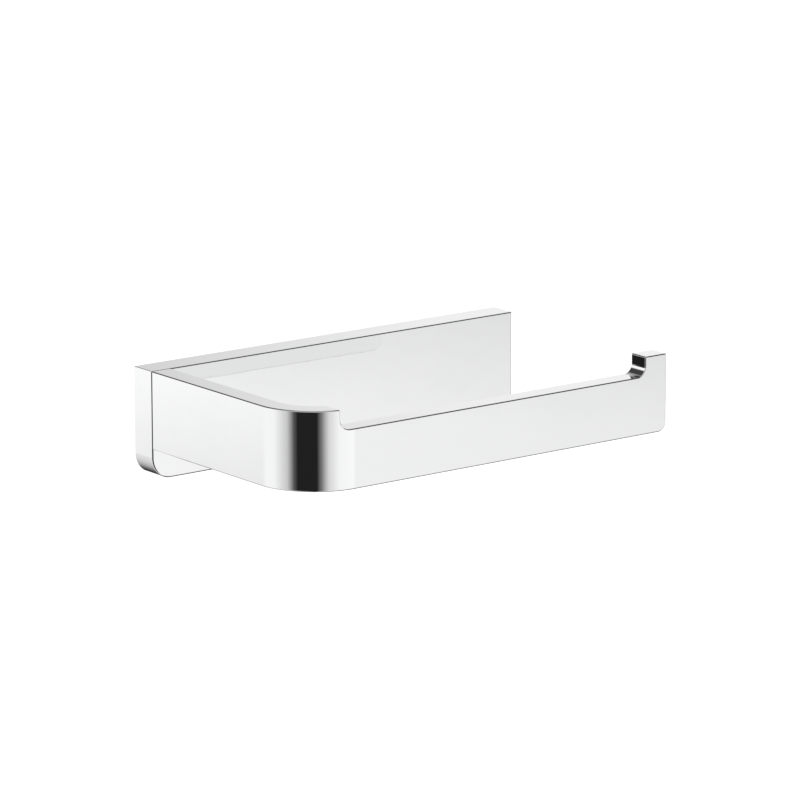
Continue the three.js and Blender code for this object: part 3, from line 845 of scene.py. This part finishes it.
def dowel(which):
    lo, hi, c = spot("arm_dowel_" + which)
    h, r = (hi.y - lo.y) / 2, 1.5
    prof = [(0.0, -h), (r - 0.42, -h), (r - 0.34, -h + 0.03), (r - 0.28, -h + 0.09)]
    prof += [(r - 0.05, -h + 0.46), (r - 0.012, -h + 0.56), (r, -h + 0.68)]
    prof += [(r, -h + 0.68 + (2 * h - 1.36) * i / 16) for i in range(1, 16)]
    prof += [(x, -y) for x, y in prof[:7][::-1]]
    o = lathe("arm_dowel_fine_" + which, prof, 96, (c.x, c.y, c.z))
    shade(o)
    place(o, STEEL_Y, "holder", "arm_dowel_" + which, "stainless")


for which in ("upper", "lower"):
    arm_screw(which)
    lock_washer(which)
    dowel(which)

# -- set screws ------------------------------------------------------------


def set_screw(side):
    lo, hi, c = spot("set_screw_" + side)
    L, r, core = hi.z - lo.z, 2.5, 2.08
    steps = 108
    before = [(0.0, 0.0), (core - 0.16, 0.0), (core - 0.05, 0.08)]
    radius = thread(0.8, core, r, 0.0, L - 0.25, 0.55, 0.85, 0.12, 0.12)
    # the far end is a cup point
    after = [(1.9, L - 0.42), (1.74, L - 0.1), (1.66, L), (1.56, L), (0.0, L - 0.62)]
    o = rod("set_screw_fine_" + side, before, core, 0.12, L - 0.55, steps, after, 96, radius, (c.x, c.y, lo.z))
    tool = prism("t", hexagon(2.5), "y", -1.0, 2.6, (c.x, c.y, lo.z))
    mouth = lathe("t", [(0.0, -0.4), (1.58, -0.4), (1.58, -0.06), (1.36, 0.14), (0.0, 0.14)], 48, (c.x, c.y, lo.z))
    cut(o, tool, mouth)
    shade(o, 42)
    turn_mesh(o, Matrix.Rotation(math.radians(90), 4, "X"))   # local Y stands along +Z
    place(o, OXIDE, "set_screw_" + side, "set_screw_" + side, "black_steel")


for side in ("left", "right"):
    set_screw(side)


# --------------------------------------------------------------------------
# studio: a pale floor 650 mm below, as on a bathroom wall, and a far light dome seen only in gloss
# --------------------------------------------------------------------------


def studio():
    floor = make("floor", [(-9000, -9000, -650), (9000, -9000, -650), (9000, 9000, -650), (-9000, 9000, -650)], [(0, 1, 2, 3)])
    k = Mat("floor_paint", Roughness=0.7)
    k.b.inputs["Specular IOR Level"].default_value = 0.2
    grain = k.noise(6.0, 4.0, 0.5)
    k.set(Base_Color=k.ramp(grain, [(0.3, (0.90, 0.90, 0.90)), (0.7, (0.92, 0.92, 0.92))]))
    floor.data.materials.append(k.m)
    floor.visible_glossy = False

    world = bpy.data.worlds.new("studio_white")
    world.use_nodes = True
    bg = world.node_tree.nodes["Background"]
    bg.inputs[0].default_value = (1, 1, 1, 1)
    bg.inputs[1].default_value = 1.25
    scene.world = world

    bm = bmesh.new()
    bmesh.ops.create_uvsphere(bm, u_segments=96, v_segments=48, radius=30.0)
    me = bpy.data.meshes.new("light_dome")
    bm.to_mesh(me)
    bm.free()
    dome = bpy.data.objects.new("light_dome", me)
    scene.collection.objects.link(dome)
    m = bpy.data.materials.new("dome_light")
    m.use_nodes = True
    t = m.node_tree
    t.nodes.clear()
    out = t.nodes.new("ShaderNodeOutputMaterial")
    em = t.nodes.new("ShaderNodeEmission")
    t.links.new(em.outputs[0], out.inputs[0])
    tc = t.nodes.new("ShaderNodeTexCoord")
    sep = t.nodes.new("ShaderNodeSeparateXYZ")
    t.links.new(tc.outputs["Object"], sep.inputs[0])

    def mth(op, a, b=None, c=None):
        nd = t.nodes.new("ShaderNodeMath")
        nd.operation = op
        for i, v in enumerate((a, b, c)):
            if v is None:
                continue
            if isinstance(v, (int, float)):
                nd.inputs[i].default_value = v
            else:
                t.links.new(v, nd.inputs[i])
        return nd.outputs[0]

    def curve(value, pts):
        """Piecewise linear function of value: pts are (value, level)."""
        lo, hi = pts[0][0], pts[-1][0]
        mr = t.nodes.new("ShaderNodeMapRange")
        mr.inputs["From Min"].default_value = lo
        mr.inputs["From Max"].default_value = hi
        t.links.new(value, mr.inputs["Value"])
        cr = t.nodes.new("ShaderNodeValToRGB")
        cr.color_ramp.interpolation = "LINEAR"
        el = cr.color_ramp.elements
        while len(el) < len(pts):
            el.new(0.5)
        for e, (p, v) in zip(el, pts):
            e.position = (p - lo) / (hi - lo)
            e.color = (v, v, v, 1)
        t.links.new(mr.outputs[0], cr.inputs[0])
        return cr.outputs[0]

    def step(value, a, b):
        """0 where value is at a, 1 where it is at b, smooth between."""
        mr = t.nodes.new("ShaderNodeMapRange")
        mr.interpolation_type = "SMOOTHSTEP"
        mr.inputs["From Min"].default_value = a
        mr.inputs["From Max"].default_value = b
        t.links.new(value, mr.inputs["Value"])
        return mr.outputs[0]

    def both(a, b):
        return mth("MULTIPLY", a, b)

    def mix(a, b, f):
        """a where f is 0, b where f is 1."""
        inv = mth("SUBTRACT", 1.0, f)
        return mth("ADD", mth("MULTIPLY", inv, a), mth("MULTIPLY", f, b))

    def window(value, a0, a1, b1, b0):
        return both(step(value, a0, a1), step(value, b0, b1))

    az = mth("MULTIPLY", mth("ARCTAN2", sep.outputs[1], sep.outputs[0]), 180 / math.pi)
    az = mth("ADD", az, mth("MULTIPLY", mth("LESS_THAN", az, 0.0), 360.0))                      # 0..360, degrees from +X
    flat = mth("SQRT", mth("ADD", mth("POWER", sep.outputs[0], 2.0), mth("POWER", sep.outputs[1], 2.0)))
    q = mth("DIVIDE", sep.outputs[2], mth("MAXIMUM", flat, 0.001))                             # tangent of the elevation

    # a plain light tent: white left and front walls with a dark gap between them, grey behind, dark below and at the right
    level = curve(az, [(120, 1.0), (160, 0.95), (185, 0.6), (197, 0.1), (204, 0.015), (237, 0.015), (245, 0.2), (257, 0.7), (275, 0.95), (300, 1.0)])
    gap = window(az, 172, 200, 240, 262)
    level = mix(level, mix(0.5, level, step(q, -0.03, -0.13)), gap)
    # the front wall falls off to the right and upwards, the left wall downwards
    front = both(curve(az, [(300, 1.0), (312, 0.85)]), curve(q, [(-0.24, 1.0), (-0.20, 0.8)]))
    level = mix(level, front, step(az, 300, 306))
    level = mix(level, curve(q, [(-0.28, 0.7), (-0.23, 1.0)]), window(az, 122, 124, 130, 145))
    # rear wall, seen by the top faces
    rear = both(curve(az, [(40, 0.95), (52, 0.85), (60, 0.4), (84, 0.5), (110, 1.0)]), curve(q, [(0.23, 1.0), (0.4, 0.6)]))
    level = mix(level, rear, both(window(az, 30, 40, 100, 115), step(q, 0.08, 0.16)))
    # dark flag at the right rear, which draws the upright edges
    dark = mth("MAXIMUM", window(az, 322, 336, 360, 361), step(az, 47, 42))
    level = mix(level, 0.04, both(dark, step(q, 0.16, 0.08)))
    # lower rear and below
    low = curve(az, [(67, 0.03), (80, 0.1), (124, 0.8)])
    level = mix(level, low, both(both(step(az, 124.4, 123.4), step(az, 58.0, 63.0)), step(q, -0.10, -0.20)))
    level = mix(level, 0.04, both(mth("MAXIMUM", step(az, 64, 59), step(az, 318, 330)), step(q, -0.3, -0.45)))
    # overhead, dark where the upper edges look
    ring = curve(az, [(0, 0.05), (50, 0.6), (88, 0.05), (120, 0.05), (170, 0.4), (262, 0.45), (310, 0.05)])
    level = mix(level, ring, step(q, 0.30, 0.46))
    level = mix(level, 0.30, step(q, 2.2, 4.5))
    t.links.new(mth("MULTIPLY", level, 1.17), em.inputs[1])
    me.materials.append(m)
    dome.visible_camera = False
    dome.visible_diffuse = False
    dome.visible_shadow = False
    dome.visible_transmission = False

    def soft(name, at, size, power):
        d = bpy.data.lights.new(name, "AREA")
        d.shape = "RECTANGLE"
        d.size, d.size_y = size
        d.energy = power
        o = bpy.data.objects.new(name, d)
        o.location = at
        o.rotation_euler = (Vector((0, -0.04, 0)) - Vector(at)).to_track_quat("-Z", "Y").to_euler()
        o.visible_glossy = False
        o.visible_camera = False
        scene.collection.objects.link(o)

    soft("key_light", (-1.2, -1.4, 1.6), (1.2, 1.2), 22)
    soft("fill_light", (1.5, -0.9, 0.9), (1.4, 1.4), 8)
    scene.view_settings.view_transform = "Standard"
    scene.view_settings.look = "None"


studio()
